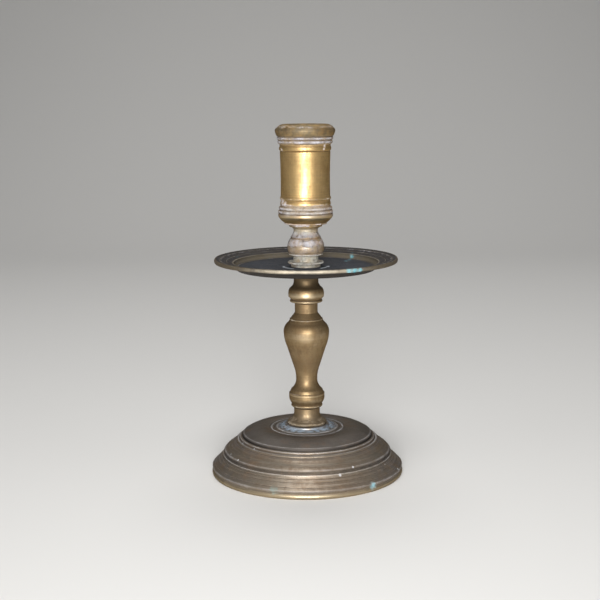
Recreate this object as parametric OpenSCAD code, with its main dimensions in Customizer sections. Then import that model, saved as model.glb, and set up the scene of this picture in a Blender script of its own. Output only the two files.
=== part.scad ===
// Brass candlestick with a wide drip pan half way up, cast in four pieces and turned.
// Everything is measured in millimetres. The foot rim stands on height 0, and the common axis
// of all four pieces is the Z axis.

/* [Base] */
// Diameter of the foot rim
base_d = 141.4; // [134:0.2:160]
// Height of the seat that the stem stands on
base_h = 36.3; // [35.8:0.1:42]
// Wall of the hollow casting
base_wall = 2.8; // [2:0.1:3.6]
// Width of the flat ring that the base stands on
foot_rim_w = 4.2; // [3:0.1:6]
// Height of the groove between the two tiers
lower_tier_h = 15; // [13:0.1:16]
// Diameter of the upper tier at its lower edge
upper_tier_d = 123.8; // [119:0.1:126]
// Height of the upper tier at its top
upper_tier_h = 24.3; // [22:0.1:25]
// Diameter of the ring on top of the upper tier
tier_ring_d = 105.2; // [102:0.1:107]
// Diameter of the domed top
dome_d = 94.8; // [90:0.1:96]
// Height of the domed top at its edge
dome_h = 29.6; // [28:0.1:30.5]
// How far the domed top swells, as a share of its width
dome_swell = 0.1; // [0.05:0.01:0.14]
// Diameter of the raised seat in the middle of the top
seat_d = 33; // [30:0.1:36]
// Diameter of the tapped boss under the seat
boss_d = 26; // [20:0.1:30]
// Depth of the tapped boss, measured from the seat
boss_h = 12; // [8:0.1:15]

/* [Base mouldings] */
// Height of the bead at the floor
foot_bead_h = 3.4; // [2.4:0.1:4]
// How far that bead stands out
foot_bead_out = 0.8; // [0.5:0.1:1.2]
// Height of the turn over the bead, up to the sloping side
foot_turn_h = 2.5; // [1.5:0.1:3.5]
// Height of the lip under the groove
tier_lip_h = 0.9; // [0.6:0.1:1.5]
// Width of the groove between the tiers
tier_groove_w = 0.9; // [0.6:0.1:1.4]
// Height of the upper tier's sharp lower edge
tier_edge_h = 0.7; // [0.4:0.1:1.2]
// Height of the ring on top of the upper tier
tier_ring_h = 1.3; // [0.8:0.1:1.8]
// Width of that ring
tier_ring_w = 1.7; // [1.2:0.1:2.2]
// Width of the small ring round the domed top
small_ring_w = 1.6; // [1:0.1:2]
// Height of that small ring
small_ring_h = 0.9; // [0.5:0.1:1.2]
// Drop from the domed top's edge to the small ring
dome_drop = 1.9; // [1.4:0.1:2.4]
// Diameter of the outer fine line on the domed top
outer_line_d = 55.2; // [52:0.1:60]
// Diameter of the inner fine line
inner_line_d = 48.2; // [45:0.1:50]
// How far the fine lines lie under the seat
line_drop = 2.8; // [2.4:0.1:3.3]
// Diameter of the groove round the seat
seat_groove_d = 40; // [38:0.1:42]
// Height of the seat's edge
seat_edge_h = 1.5; // [1:0.1:1.6]

/* [Stem] */
// Diameter of the screw at the foot of the stem
foot_screw_d = 12; // [9:0.1:14]
// Diameter of the stem's foot
stem_foot_d = 28.8; // [24:0.1:30]
// Diameter of the neck over the foot
lower_neck_d = 19; // [16:0.1:20.4]
// Diameter of the lower torus
lower_torus_d = 26.8; // [25.2:0.1:31]
// Diameter of the waist under the vase
waist_d = 15.6; // [12:0.1:18]
// Diameter of the vase
vase_d = 33.6; // [30:0.1:40]
// Height of the vase from the waist to its widest place
vase_h = 35.3; // [28:0.1:44]
// Diameter of the neck over the vase
upper_neck_d = 16.7; // [14.4:0.1:18.4]
// Diameter of the upper torus
upper_torus_d = 26.4; // [24.6:0.1:31]
// Diameter of the reel under the drip pan
reel_d = 18; // [15:0.1:20]
// Diameter of the stem's seat for the drip pan
stem_seat_d = 31; // [27:0.1:35]

/* [Stem mouldings] */
// Thickness of the stem's foot
stem_foot_h = 2.4; // [1.6:0.1:4]
// Height of the cove over the foot
foot_cove_h = 5.7; // [4:0.1:8]
// Height of the neck over that cove
lower_neck_h = 3.9; // [2:0.1:6]
// Height of the ring over the neck
lower_ring_h = 3.3; // [3:0.1:5]
// Diameter of that ring
lower_ring_d = 23.2; // [22.4:0.1:24.8]
// Diameter of the groove over the ring
lower_groove_d = 21.9; // [20.6:0.1:22.2]
// Height of the lower torus
lower_torus_h = 5.9; // [4.5:0.1:8]
// Height of the fillet over the torus
lower_fillet_h = 2.2; // [1.4:0.1:3]
// Height of the step over the fillet
lower_step_h = 2.7; // [1.8:0.1:4]
// Height of the cove under the waist
waist_cove_h = 7.6; // [5:0.1:10]
// Diameter at the vase's shoulder
shoulder_d = 26.4; // [24.8:0.1:29]
// Height from the vase's widest place to its shoulder
shoulder_h = 7.2; // [6:0.1:9]
// Height from the shoulder to its ring
shoulder_rise = 1.7; // [1:0.1:3]
// Diameter of the ring over the shoulder
shoulder_ring_d = 24.2; // [22.8:0.1:24.8]
// Height of that ring
shoulder_ring_h = 1.1; // [0.8:0.1:2]
// Height of the cove over the ring
upper_cove_h = 4.3; // [3:0.1:6]
// Height of the upper neck
upper_neck_h = 6.8; // [4:0.1:9]
// Height of the upper ring
upper_ring_h = 2.8; // [2.6:0.1:5]
// Diameter of the upper ring
upper_ring_d = 24; // [23:0.1:25]
// Diameter of the groove over the upper ring
upper_groove_d = 22; // [20.6:0.1:22.8]
// Height of the upper torus
upper_torus_h = 9; // [7:0.1:11]
// Height of the reel
reel_h = 9.4; // [7:0.1:12]
// Height of the stem's seat
stem_seat_h = 4; // [3:0.1:6]

/* [Drip pan] */
// Diameter of the drip pan
pan_d = 133.4; // [118:0.2:150]
// Thickness of the plate
pan_t = 1.8; // [1.2:0.1:2.4]
// Thickness of the outer rim
pan_rim_t = 2.8; // [2.6:0.1:3.6]
// Width of the outer rim
pan_rim_w = 1.6; // [1.2:0.1:2.4]
// Distance from the edge to the fine step inside the rim
pan_line_inset = 4.6; // [3.4:0.1:6]
// Diameter of the well at its upper edge
pan_well_d = 105; // [90:0.1:108]
// Width of the well's sloping wall
pan_well_slope = 2.2; // [1.4:0.1:4]
// Depth of the well below its edge
pan_well_depth = 3.3; // [2.4:0.1:6]
// Rise of the sloping border from the well to the rim
pan_border_rise = 3.1; // [1.5:0.1:5]

/* [Socket] */
// Diameter of the screw that holds the pan and the socket to the stem
pan_screw_d = 9.2; // [7:0.1:10]
// Length of that screw below the socket's foot
pan_screw_l = 14; // [10:0.1:16]
// Diameter of the socket's foot
socket_foot_d = 21.8; // [20:0.1:25]
// Diameter of the flange over the foot
foot_flange_d = 26.2; // [25.4:0.1:30]
// Diameter of the short neck over the foot
short_neck_d = 18.2; // [15:0.1:20]
// Diameter of the knop
knop_d = 26.9; // [26:0.1:32]
// Height of the knop
knop_h = 10.7; // [9:0.1:15]
// Diameter of the neck between the knop and the cup
cup_neck_d = 17.6; // [15:0.1:19]
// Diameter of the straight wall of the cup
cup_d = 35.7; // [33:0.1:36.2]
// Height of the straight wall
cup_wall_h = 37.1; // [28:0.1:50]
// Diameter of the rim
rim_d = 43.4; // [42:0.1:47]
// Bore for the candle
candle_bore_d = 25; // [20:0.1:27]
// Depth of the bore
candle_bore_l = 54; // [40:0.1:56]
// Width of the flare at the bore's mouth
mouth_flare = 1; // [0.5:0.1:1.5]

/* [Socket mouldings] */
// Height of the socket's foot
socket_foot_h = 3.6; // [2.6:0.1:5]
// Thickness of the flange over the foot
foot_flange_h = 1; // [0.7:0.1:1.6]
// Height of the small cove over the flange
flange_cove_h = 1; // [0.7:0.1:1.6]
// Height of the short neck
short_neck_h = 4.5; // [3:0.1:6]
// Diameter of the fillet under the knop
knop_fillet_d = 24.8; // [22.8:0.1:25.6]
// Height of that fillet
knop_fillet_h = 1.8; // [1.4:0.1:2.6]
// Diameter of the knop at its top
knop_top_d = 22.2; // [20.8:0.1:23.8]
// Height of the cove over the knop
cup_cove_h = 4.8; // [3.5:0.1:6]
// Height of the neck between the knop and the cup
cup_neck_h = 1.7; // [1:0.1:3]
// Height of the flare under the cup
cup_flare_h = 2; // [1.4:0.1:3]
// Diameter of the small fillet under the cup
cup_fillet_d = 23.4; // [20.6:0.1:25.6]
// Height of that fillet
cup_fillet_h = 2; // [1.2:0.1:2.8]
// Diameter of the step under the bowl
cup_step_d = 31.4; // [28:0.1:32.4]
// Height of that step
cup_step_h = 0.9; // [0.6:0.1:2]
// Height of the bowl
cup_bowl_h = 6.6; // [5:0.1:8]
// Diameter of the cup's beads
bead_d = 39.7; // [38.8:0.1:41]
// Height of one bead
bead_h = 2.6; // [2:0.1:3.4]
// Diameter of the soft bead over them
soft_bead_d = 36.6; // [36.2:0.1:37.6]
// Height of the soft bead
soft_bead_h = 3.6; // [2.8:0.1:5]
// Gap between the soft bead and the ridge
ridge_gap = 1; // [0.6:0.1:2]
// Diameter of the ridge at the foot of the wall
ridge_d = 36.9; // [36.2:0.1:37.8]
// Height of the ridge
ridge_h = 2.5; // [1.8:0.1:3.4]
// How far the wall is drawn in half way up, as a share of its height
wall_waist = 0.008; // [0:0.001:0.015]
// Distance of the scribed line from the top of the wall
scribe_drop = 4.8; // [3:0.1:8]
// Diameter of the beads under the rim
rim_bead_d = 40.5; // [39.8:0.1:41.4]
// Height of one of those beads
rim_bead_h = 2.6; // [2:0.1:3.4]
// Height of the rim
rim_h = 6.3; // [5:0.1:8]
// How far the rim is drawn in above and below its widest place
rim_draw = 1.5; // [1:0.1:2]
// Height of the rounded lip over the rim
mouth_rise = 2; // [1.6:0.1:3]

/* [Fits] */
// Gap all round a screw, where the threads of the two pieces run in each other
thread_gap = 0.15; // [0.1:0.05:0.3]
// Gap all round the screw where it passes through the pan
pan_hole_gap = 0.3; // [0.2:0.05:0.6]
// Room left past the end of a screw
screw_end_gap = 1; // [0.5:0.1:2]

/* [Turning] */
// Depth of the fine lines cut with the point of a tool
line_depth = 0.4; // [0.2:0.05:0.5]
// Width of the fine lines
line_w = 0.8; // [0.5:0.1:1]
// Width of the small step between two mouldings
quirk = 0.5; // [0.3:0.1:0.7]
// Width of a softened edge
edge = 0.3; // [0.2:0.1:0.4]
// Depth of the small holes that the lathe's centres leave
centre_depth = 1.6; // [1:0.1:2.5]

/* [Hidden] */
$fn = 96;

// The largest turn, in degrees, of one straight piece of a rounded outline
arc_step = 9;
// How far an outline stands proud of its straight line, as a share of the line's length
slight = 0.05;
soft = 0.12;
round = 0.25;
// Places of the fine lines on the lower tier, as shares of its slope from the foot up
tier_lines = [0.26, 0.62, 0.84];
// Colours of the brass, from the brown of the base to the gold of the cup
BASE_COLOUR = [0.50, 0.42, 0.30];
STEM_COLOUR = [0.56, 0.45, 0.26];
PAN_COLOUR = [0.45, 0.40, 0.31];
SOCKET_COLOUR = [0.66, 0.53, 0.30];

// Outline of a turned piece. Each step is [radius, height, share]: the line to it from the step
// before is straight, swells out where the share is positive and hollows in where it is negative.
function turned(steps) = concat(
    [plain(steps[0])],
    [for (i = [1:len(steps) - 1]) each sweep(plain(steps[i - 1]), plain(steps[i]), steps[i][2])]
);
function plain(step) = [step[0], step[1]];
// Points after a and up to b on the arc that stands proud of the line a-b by a share of it
function sweep(a, b, share) =
    share == 0 ? [b] :
    let (
        chord = norm(b - a),
        along = (b - a) / chord,
        out = [along[1], -along[0]] * sign(share),
        rise = abs(share) * chord,
        radius = (chord * chord / 4 + rise * rise) / (2 * rise),
        middle = (a + b) / 2 + out * (rise - radius),
        half = atan2(chord / 2, radius - rise),
        parts = max(4, ceil(2 * half / arc_step))
    )
    [for (i = [1:parts])
        let (turn = half * (2 * i / parts - 1))
        middle + radius * (out * cos(turn) + along * sin(turn))];
// A half-round ring that stands out from radius inner to radius outer between two heights
function bead(inner, outer, low, high) =
    [[inner, low, 0], [inner, high, (outer - inner) / (high - low)]];
// A fine line cut at a place into the surface whose outline runs up along the direction up
function cut_line(place, up) =
    let (into = [-up[1], up[0]])
    [
        concat(place - up * line_w / 2, 0),
        concat(place + into * line_depth, 0),
        concat(place + up * line_w / 2, 0)
    ];
// The direction of the outline from a to b
function course(a, b) = (b - a) / norm(b - a);
// How far a cutting cylinder runs past the face that it opens
cut_past = 1;
// The hole that a lathe's centre leaves in the end of a screw, which lies at height 0
module centre_hole() {
    translate([0, 0, -cut_past])
    cylinder(h = centre_depth + cut_past, r1 = centre_depth + cut_past, r2 = 0);
}

// Base: radii and heights that follow from the driving ones
base_r = base_d / 2;
foot_bead_r = base_r - foot_bead_out;
side_foot = [base_r - edge / 2, foot_bead_h + foot_turn_h];
tier_r = upper_tier_d / 2;
tier_lip = [tier_r + quirk, lower_tier_h - tier_lip_h];
tier_groove_r = tier_r - quirk;
tier_groove_top = lower_tier_h + tier_groove_w;
tier_edge = [tier_r, tier_groove_top + tier_edge_h];
tier_ring_r = tier_ring_d / 2;
tier_top = [tier_ring_r + quirk, upper_tier_h];
tier_middle = (tier_edge + tier_top) / 2;
tier_ring_top = upper_tier_h + tier_ring_h;
dome_r = dome_d / 2;
small_ring_top = [dome_r + quirk + edge, dome_h - dome_drop];
outer_line = [outer_line_d / 2, base_h - line_drop];
inner_line = [inner_line_d / 2, base_h - line_drop];
seat_r = seat_d / 2;
seat_foot_z = base_h - seat_edge_h;
seat_groove_r = seat_groove_d / 2;
crown_inside = [seat_groove_r, seat_foot_z - 2 * quirk - base_wall];
side_inside = [side_foot[0] - foot_rim_w, side_foot[1]];

// Stem: heights of its mouldings, from the base up
foot_cove_z = base_h + stem_foot_h;
lower_neck_z = foot_cove_z + foot_cove_h;
lower_ring_z = lower_neck_z + lower_neck_h;
lower_torus_z = lower_ring_z + lower_ring_h;
lower_fillet_z = lower_torus_z + lower_torus_h;
lower_step_z = lower_fillet_z + lower_fillet_h;
waist_cove_z = lower_step_z + lower_step_h;
waist_z = waist_cove_z + waist_cove_h;
vase_z = waist_z + vase_h;
shoulder_z = vase_z + shoulder_h;
shoulder_ring_z = shoulder_z + shoulder_rise;
shoulder_top_z = shoulder_ring_z + shoulder_ring_h;
upper_neck_z = shoulder_top_z + upper_cove_h;
upper_ring_z = upper_neck_z + upper_neck_h;
upper_torus_z = upper_ring_z + upper_ring_h;
reel_z = upper_torus_z + upper_torus_h;
stem_seat_z = reel_z + reel_h;
pan_z = stem_seat_z + stem_seat_h;
// Radii of the stem
stem_foot_r = stem_foot_d / 2;
lower_neck_r = lower_neck_d / 2;
lower_ring_r = lower_ring_d / 2;
lower_groove_r = lower_groove_d / 2;
lower_torus_r = lower_torus_d / 2;
waist_r = waist_d / 2;
vase_r = vase_d / 2;
vase_belly = vase_r - waist_r;
shoulder_r = shoulder_d / 2;
shoulder_ring_r = shoulder_ring_d / 2;
upper_neck_r = upper_neck_d / 2;
upper_ring_r = upper_ring_d / 2;
upper_groove_r = upper_groove_d / 2;
upper_torus_r = upper_torus_d / 2;
reel_r = reel_d / 2;
stem_seat_r = stem_seat_d / 2;

// Drip pan: heights and radii
pan_floor_z = pan_z + pan_t;
pan_well_z = pan_floor_z + pan_well_depth;
pan_rim_z = pan_well_z + pan_border_rise;
pan_r = pan_d / 2;
pan_rim_inside = pan_r - pan_rim_w;
pan_well_r = pan_well_d / 2;

// Socket: heights of its mouldings, from the pan's floor up
short_neck_z = pan_floor_z + socket_foot_h;
knop_fillet_z = short_neck_z + short_neck_h;
knop_z = knop_fillet_z + knop_fillet_h;
knop_top_z = knop_z + knop_h;
cup_neck_z = knop_top_z + cup_cove_h;
cup_flare_z = cup_neck_z + cup_neck_h;
cup_fillet_z = cup_flare_z + cup_flare_h;
cup_step_z = cup_fillet_z + cup_fillet_h;
cup_bowl_z = cup_step_z + cup_step_h;
bead_b_z = cup_bowl_z + cup_bowl_h;
bead_a_z = bead_b_z + bead_h;
soft_bead_z = bead_a_z + bead_h;
soft_bead_top = soft_bead_z + soft_bead_h;
ridge_z = soft_bead_top + ridge_gap;
wall_z = ridge_z + ridge_h;
wall_top_z = wall_z + cup_wall_h;
scribe_z = wall_top_z - scribe_drop;
lower_rim_bead_z = wall_top_z + quirk;
upper_rim_bead_z = lower_rim_bead_z + rim_bead_h;
rim_z = upper_rim_bead_z + rim_bead_h;
rim_top_z = rim_z + rim_h;
socket_top_z = rim_top_z + mouth_rise;
// Radii of the socket
socket_foot_r = socket_foot_d / 2;
foot_flange_r = foot_flange_d / 2;
foot_flange_z = short_neck_z - foot_flange_h;
short_neck_r = short_neck_d / 2;
knop_r = knop_d / 2;
knop_fillet_r = knop_fillet_d / 2;
knop_top_r = knop_top_d / 2;
cup_neck_r = cup_neck_d / 2;
cup_r = cup_d / 2;
wall_band_r = cup_r + 2.5 * edge;
cup_fillet_r = cup_fillet_d / 2;
cup_step_r = cup_step_d / 2;
bead_r = bead_d / 2;
soft_bead_r = soft_bead_d / 2;
ridge_r = ridge_d / 2;
rim_r = rim_d / 2;
rim_edge_r = rim_r - rim_draw;
rim_bead_r = rim_bead_d / 2;
candle_bore_r = candle_bore_d / 2;

// Hollow casting that stands on a ring, with a tapped boss under the seat for the stem
module base() {
    color(BASE_COLOUR)
    difference() {
        rotate_extrude() polygon(turned(concat(base_outside(), base_inside())));
        translate([0, 0, base_h - boss_h - cut_past])
        cylinder(h = boss_h + 2 * cut_past, d = foot_screw_d + 2 * thread_gap);
    }
}
function base_outside() = concat(
    bead(foot_bead_r, base_r, 0, foot_bead_h),
    [
        [foot_bead_r, foot_bead_h + quirk, 0],
        concat(side_foot, slight)
    ],
    [for (t = tier_lines)
        each cut_line(side_foot + (tier_lip - side_foot) * t, course(side_foot, tier_lip))],
    [
        concat(tier_lip, 0),
        [tier_r, lower_tier_h, round],
        [tier_groove_r, lower_tier_h, 0],
        [tier_groove_r, tier_groove_top, 0],
        concat(tier_edge, 0),
        concat(tier_middle, slight),
        concat(tier_top, -slight),
        [tier_ring_r, upper_tier_h, 0],
        [tier_ring_r - tier_ring_w, tier_ring_top, round],
        [tier_ring_r - tier_ring_w - edge, tier_ring_top, 0],
        [small_ring_top[0] + small_ring_w, small_ring_top[1] - small_ring_h, 0],
        concat(small_ring_top, round),
        [dome_r + quirk, small_ring_top[1], 0],
        [dome_r, dome_h, soft],
        [outer_line[0] + line_w / 2, outer_line[1], dome_swell]
    ],
    cut_line(outer_line, course(outer_line, inner_line)),
    cut_line(inner_line, course(outer_line, inner_line)),
    [
        [seat_groove_r + line_w, seat_foot_z - quirk, 0],
        [seat_groove_r, seat_foot_z - 2 * quirk, 0],
        [seat_groove_r - line_w, seat_foot_z - quirk, 0],
        [seat_r + 2 * quirk, seat_foot_z, slight],
        [seat_r, seat_foot_z, 0],
        [seat_r - quirk, base_h, soft],
        [0, base_h, 0]
    ]
);
// The hollow follows the outside at the thickness of the wall, and ends at the boss
function base_inside() = [
    [0, base_h - boss_h, 0],
    [boss_d / 2, base_h - boss_h, 0],
    [boss_d / 2, crown_inside[1], 0],
    concat(crown_inside, 0),
    [dome_r - base_wall, dome_h - base_wall, -slight],
    [tier_ring_r - base_wall, upper_tier_h - base_wall, 0],
    [tier_groove_r - base_wall, lower_tier_h - base_wall, 0],
    concat(side_inside, -slight),
    [foot_bead_r - foot_rim_w, 0, 0]
];

// Baluster with a screw at its foot for the base and a tapped hole at its top for the socket
module stem() {
    color(STEM_COLOUR)
    difference() {
        rotate_extrude() polygon(turned(stem_outline()));
        translate([0, 0, pan_floor_z - pan_screw_l - screw_end_gap])
        cylinder(h = pan_screw_l + screw_end_gap + cut_past, d = pan_screw_d + 2 * thread_gap);
        translate([0, 0, base_h - boss_h]) centre_hole();
    }
}
function stem_outline() = concat(
    [
        [0, base_h - boss_h, 0],
        [foot_screw_d / 2, base_h - boss_h, 0],
        [foot_screw_d / 2, base_h, 0],
        [stem_foot_r - quirk, base_h, 0],
        [stem_foot_r - quirk, foot_cove_z, round],
        [stem_foot_r - 2 * quirk, foot_cove_z, 0],
        [lower_neck_r, lower_neck_z, -soft],
        [lower_neck_r, lower_ring_z, 0]
    ],
    bead(lower_groove_r, lower_ring_r, lower_ring_z + 2 * quirk, lower_torus_z - edge),
    [
        [lower_groove_r, lower_torus_z, 0],
        [lower_torus_r - edge, lower_fillet_z, soft],
        [lower_torus_r - edge, lower_step_z, 0],
        [lower_torus_r - 2 * quirk, lower_step_z, 0],
        [lower_torus_r - 4 * quirk, waist_cove_z, slight],
        [waist_r, waist_z, -soft],
        [waist_r + vase_belly * 0.22, waist_z + vase_h * 0.29, -slight],
        [waist_r + vase_belly * 0.72, waist_z + vase_h * 0.68, 0],
        [vase_r, vase_z, slight],
        [shoulder_r, shoulder_z, soft],
        [shoulder_ring_r, shoulder_ring_z, 0],
        [shoulder_ring_r - quirk, shoulder_top_z, round],
        [upper_neck_r, upper_neck_z, 0],
        [upper_neck_r, upper_ring_z, 0]
    ],
    bead(upper_groove_r, upper_ring_r, upper_ring_z + 2 * quirk, upper_torus_z - edge),
    [
        [upper_groove_r, upper_torus_z, 0],
        [upper_torus_r - 2 * quirk, upper_torus_z + 3 * quirk, slight],
        [upper_torus_r - edge, upper_torus_z + 4 * quirk, 0],
        [upper_torus_r - edge, upper_torus_z + upper_torus_h * 0.65, slight],
        [upper_torus_r - 4 * quirk, reel_z, soft],
        [reel_r, reel_z + reel_h / 2, -soft],
        [stem_seat_r - 3 * quirk, stem_seat_z, -round],
        [stem_seat_r - 2 * quirk, stem_seat_z, 0],
        [stem_seat_r - 2 * quirk, pan_z - 3 * quirk, round],
        [stem_seat_r, pan_z - 2 * quirk, 0],
        [stem_seat_r, pan_z, 0],
        [0, pan_z, 0]
    ]
);

// Dish with a turned rim, held between the socket's foot and the stem's seat
module drip_pan() {
    color(PAN_COLOUR)
    difference() {
        rotate_extrude() polygon(turned(pan_outline()));
        translate([0, 0, pan_z - cut_past])
        cylinder(h = pan_t + 2 * cut_past, d = pan_screw_d + 2 * pan_hole_gap);
    }
}
function pan_outline() = [
    [0, pan_z, 0],
    [pan_well_r - pan_well_slope, pan_z, 0],
    [pan_well_r + 2 * edge, pan_well_z - pan_t, 0],
    [pan_rim_inside - quirk, pan_rim_z - pan_t - edge, 0],
    [pan_rim_inside, pan_rim_z - pan_rim_t, 0],
    [pan_r - quirk, pan_rim_z - pan_rim_t, 0],
    [pan_r - quirk, pan_rim_z, quirk / pan_rim_t],
    [pan_rim_inside, pan_rim_z, 0],
    [pan_rim_inside - edge, pan_rim_z - edge, 0],
    [pan_r - pan_line_inset, pan_rim_z - quirk - edge, 0],
    [pan_well_r, pan_well_z, 0],
    [pan_well_r - pan_well_slope, pan_floor_z, -soft],
    [0, pan_floor_z, 0]
];

// Cup for the candle on a knop and foot, with the screw that passes through the pan
module socket() {
    color(SOCKET_COLOUR)
    difference() {
        rotate_extrude() polygon(turned(concat(socket_stem(), socket_cup())));
        translate([0, 0, socket_top_z - candle_bore_l])
        cylinder(h = candle_bore_l + cut_past, r = candle_bore_r);
        translate([0, 0, socket_top_z - mouth_flare])
        cylinder(
            h = mouth_flare + cut_past,
            r1 = candle_bore_r,
            r2 = candle_bore_r + mouth_flare + cut_past
        );
        translate([0, 0, pan_floor_z - pan_screw_l]) centre_hole();
    }
}
function socket_stem() = concat(
    [
        [0, pan_floor_z - pan_screw_l, 0],
        [pan_screw_d / 2, pan_floor_z - pan_screw_l, 0],
        [pan_screw_d / 2, pan_floor_z, 0],
        [socket_foot_r, pan_floor_z, 0],
        [socket_foot_r, foot_flange_z, -slight],
        [foot_flange_r, foot_flange_z, 0],
        [foot_flange_r - edge, short_neck_z, slight],
        [short_neck_r, short_neck_z + flange_cove_h, -round],
        [short_neck_r, knop_fillet_z, 0]
    ],
    bead(knop_fillet_r - quirk, knop_fillet_r, knop_fillet_z + edge, knop_z),
    [
        [knop_r - quirk, knop_z + knop_h * 0.14, slight],
        [knop_top_r, knop_top_z, soft]
    ],
    cut_line([knop_top_r, knop_top_z + line_w / 2], [0, 1]),
    [
        [cup_neck_r, cup_neck_z, -slight],
        [cup_neck_r, cup_flare_z, 0],
        [cup_fillet_r - edge, cup_fillet_z, -soft],
        [cup_fillet_r, cup_fillet_z, 0],
        [cup_fillet_r, cup_step_z, soft],
        [cup_step_r - edge, cup_step_z, 0],
        [cup_step_r - edge, cup_bowl_z, 0],
        [bead_r - 2.5 * edge, cup_bowl_z + cup_bowl_h * 0.53, slight],
        [bead_r - edge / 2, bead_b_z - edge, soft]
    ]
);
function socket_cup() = concat(
    bead(bead_r - 2 * quirk, bead_r, bead_b_z, bead_a_z),
    bead(bead_r - 3 * quirk, bead_r - quirk, bead_a_z, soft_bead_z),
    bead(soft_bead_r - quirk, soft_bead_r, soft_bead_z + edge, soft_bead_top),
    [[cup_r, soft_bead_top, 0]],
    bead(cup_r, ridge_r, ridge_z, wall_z),
    [[cup_r + edge, scribe_z - line_w, -wall_waist]],
    cut_line([cup_r + edge, scribe_z], [0, 1]),
    [
        [wall_band_r, scribe_z + line_w, 0],
        [wall_band_r, wall_top_z - 6 * edge, slight],
        [wall_band_r - edge, wall_top_z - 5 * edge, 0],
        [wall_band_r - edge, wall_top_z - 2 * edge, 0],
        [rim_bead_r - 3 * quirk, lower_rim_bead_z, -soft]
    ],
    bead(rim_bead_r - 2 * quirk, rim_bead_r - quirk, lower_rim_bead_z, upper_rim_bead_z),
    bead(rim_bead_r - 2 * quirk, rim_bead_r, upper_rim_bead_z, rim_z),
    [
        [rim_edge_r, rim_z, 0],
        [rim_r, rim_z + rim_h * 0.64, slight],
        [rim_edge_r, rim_top_z, soft],
        [rim_edge_r - 2 * quirk, rim_top_z + 2 * quirk, soft],
        [candle_bore_r + mouth_flare, socket_top_z, soft],
        [0, socket_top_z, 0]
    ]
);

base();
stem();
drip_pan();
socket();
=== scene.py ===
import math

import bmesh
import bpy
from bpy.props import FloatProperty, FloatVectorProperty, IntProperty, PointerProperty
from mathutils import Euler, Matrix, Vector, noise


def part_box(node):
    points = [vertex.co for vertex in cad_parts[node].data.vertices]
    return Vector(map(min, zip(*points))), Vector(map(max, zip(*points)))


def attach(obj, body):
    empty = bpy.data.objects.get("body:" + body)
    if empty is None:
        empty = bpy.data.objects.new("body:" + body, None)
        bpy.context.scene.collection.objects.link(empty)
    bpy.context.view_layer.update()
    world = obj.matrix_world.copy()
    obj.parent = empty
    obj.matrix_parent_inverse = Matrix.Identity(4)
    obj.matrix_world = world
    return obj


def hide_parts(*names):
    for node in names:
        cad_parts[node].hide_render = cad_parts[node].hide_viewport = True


bl_info = {
    "name": "Brass candlestick",
    "version": (1, 0, 0),
    "blender": (4, 5, 0),
    "location": "View3D > Sidebar > Candlestick",
    "description": "Turned brass candlestick with a wide drip pan, aged and set in a plain studio",
    "category": "Add Mesh",
}

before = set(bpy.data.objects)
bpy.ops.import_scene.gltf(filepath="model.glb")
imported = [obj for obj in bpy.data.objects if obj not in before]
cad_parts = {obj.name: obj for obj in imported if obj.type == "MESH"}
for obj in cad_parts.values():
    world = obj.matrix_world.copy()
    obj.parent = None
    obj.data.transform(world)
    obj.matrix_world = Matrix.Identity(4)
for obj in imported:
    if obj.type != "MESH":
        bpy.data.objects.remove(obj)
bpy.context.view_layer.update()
MM = 0.001

# Share of a line's length by which its outline swells out or hollows in
SLIGHT = 0.05
SOFT = 0.12
ROUND = 0.25
# Small step between two mouldings and width of a softened edge, in millimetres
QUIRK = 0.5
EDGE = 0.3
# Fine line cut with the point of a tool
LINE_DEPTH = 0.4
LINE_W = 0.8
# The largest turn of one straight piece of a rounded outline, in degrees
ARC_STEP = 7


def node_width(node):
    low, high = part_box(node)
    return high.x - low.x


def node_top(node):
    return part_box(node)[1].z


# Sizes and finishes that a user would change

class CandlestickSizes(bpy.types.PropertyGroup):
    base_diameter: FloatProperty(
        name="Base diameter", description="Across the foot rim", unit="LENGTH",
        default=node_width("base"), min=0.13, max=0.16)
    base_height: FloatProperty(
        name="Base height", description="Height of the seat that the stem stands on",
        unit="LENGTH", default=node_top("base"), min=0.0358, max=0.042)
    pan_diameter: FloatProperty(
        name="Pan diameter", description="Across the drip pan", unit="LENGTH",
        default=0.1334, min=0.118, max=0.15)
    rim_diameter: FloatProperty(
        name="Rim diameter", description="Across the socket's rim", unit="LENGTH",
        default=node_width("socket"), min=0.042, max=0.047)
    candle_diameter: FloatProperty(
        name="Candle bore", description="Bore that takes the candle", unit="LENGTH",
        default=0.025, min=0.02, max=0.027)
    turns: IntProperty(
        name="Facets", description="Straight pieces in one full turn", default=160, min=48, max=256)


class CandlestickFinish(bpy.types.PropertyGroup):
    bright_brass: FloatVectorProperty(
        name="Bright brass", description="Brass where hands have kept it bright",
        subtype="COLOR", size=3, default=(0.62, 0.42, 0.185), min=0, max=1)
    dull_brass: FloatVectorProperty(
        name="Dull brass", description="Brass under a thin brown skin",
        subtype="COLOR", size=3, default=(0.31, 0.222, 0.12), min=0, max=1)
    grey_brass: FloatVectorProperty(
        name="Grey brass", description="Brass of the base and the pan, gone grey and brown",
        subtype="COLOR", size=3, default=(0.32, 0.272, 0.212), min=0, max=1)
    brown_skin: FloatVectorProperty(
        name="Brown skin", description="Dark tarnish in the hollows",
        subtype="COLOR", size=3, default=(0.085, 0.06, 0.038), min=0, max=1)
    pale_residue: FloatVectorProperty(
        name="Pale residue", description="Dried polish left in the grooves",
        subtype="COLOR", size=3, default=(0.57, 0.55, 0.585), min=0, max=1)
    verdigris: FloatVectorProperty(
        name="Verdigris", description="Green corrosion on the pan",
        subtype="COLOR", size=3, default=(0.11, 0.36, 0.42), min=0, max=1)
    residue_amount: FloatProperty(
        name="Residue", description="How much dried polish lies in the grooves",
        subtype="FACTOR", default=0.5, min=0, max=1)
    tool_mark_depth: FloatProperty(
        name="Tool marks", description="Depth of the marks that the lathe left",
        unit="LENGTH", default=0.00004, min=0, max=0.0003)


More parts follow.
